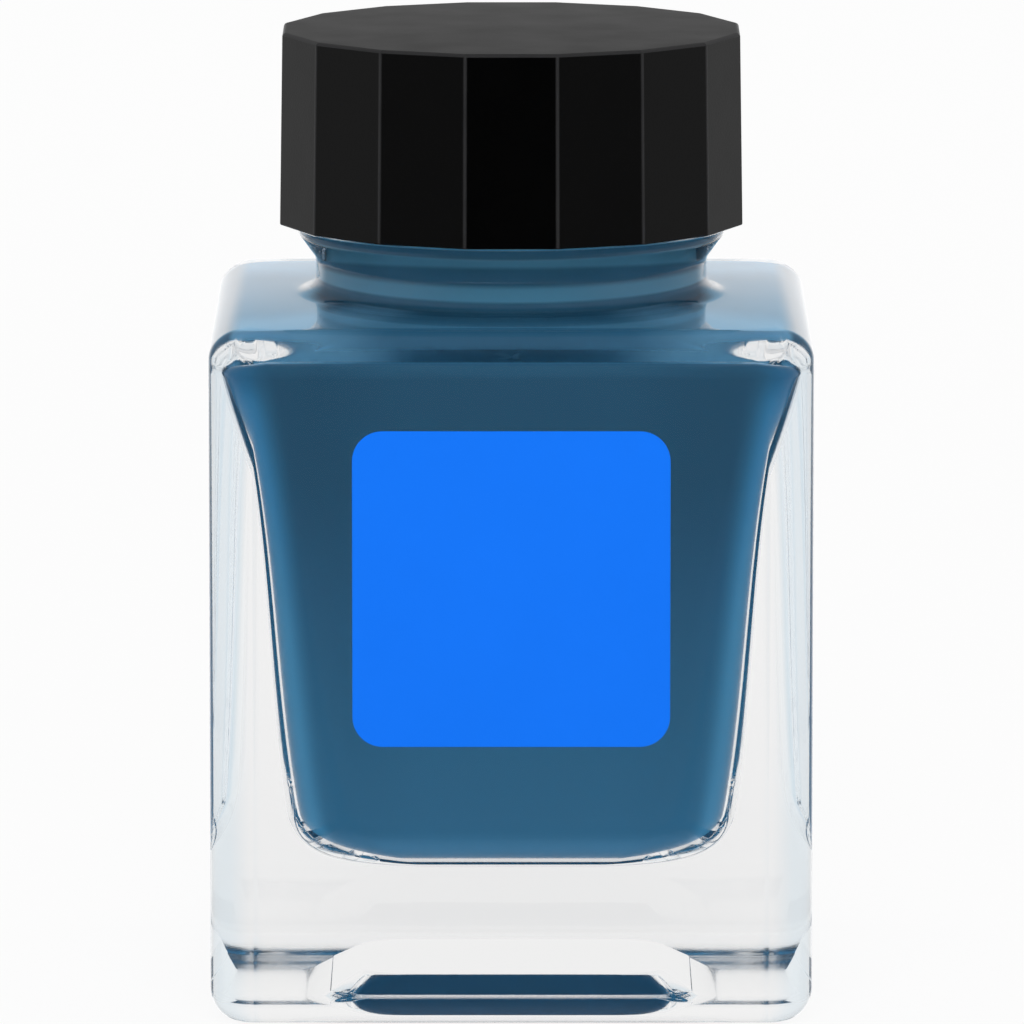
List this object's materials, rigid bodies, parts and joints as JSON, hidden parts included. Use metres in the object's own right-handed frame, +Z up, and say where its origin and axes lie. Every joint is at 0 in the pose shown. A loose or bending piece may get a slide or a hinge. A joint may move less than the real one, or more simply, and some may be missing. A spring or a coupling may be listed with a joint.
{
  "type": "ink bottle",
  "caption": "Square heavy-based glass ink bottle with a tapering well of blue ink, a faceted screw cap with a liner, and a plain square label.",
  "frame": {"origin": "middle of the base, on the surface that the bottle stands on", "axes": "+Z up through the neck and cap, the label faces -Y, +X to the label's right"},
  "size_m": [0.04, 0.0401, 0.0646],
  "materials": {
    "clear_glass": "gloss",
    "blue_ink": "gloss",
    "label_film": "satin",
    "black_plastic": "satin",
    "white_foam": "matte"
  },
  "bodies": {
    "bottle": {"glass_bottle": "clear_glass", "ink_fill": "blue_ink", "front_label": "label_film"},
    "liner": {"cap_liner": "white_foam"},
    "cap": {"cap_shell": "black_plastic"}
  },
  "joints": [
    {"name": "cap_lift", "type": "slide", "parent": "bottle", "child": "liner", "axis": [0, 0, 1], "range_m": [0, 0.0127]},
    {"name": "cap_turn", "type": "hinge", "parent": "liner", "child": "cap", "pos_m": [0, 0, 0.0515], "axis": [0, 0, 1], "range_deg": [0, 1080]}
  ],
  "couplings": [
    {"joint": "cap_lift", "follows": "cap_turn", "m_per_rad": 0.00067322}
  ]
}
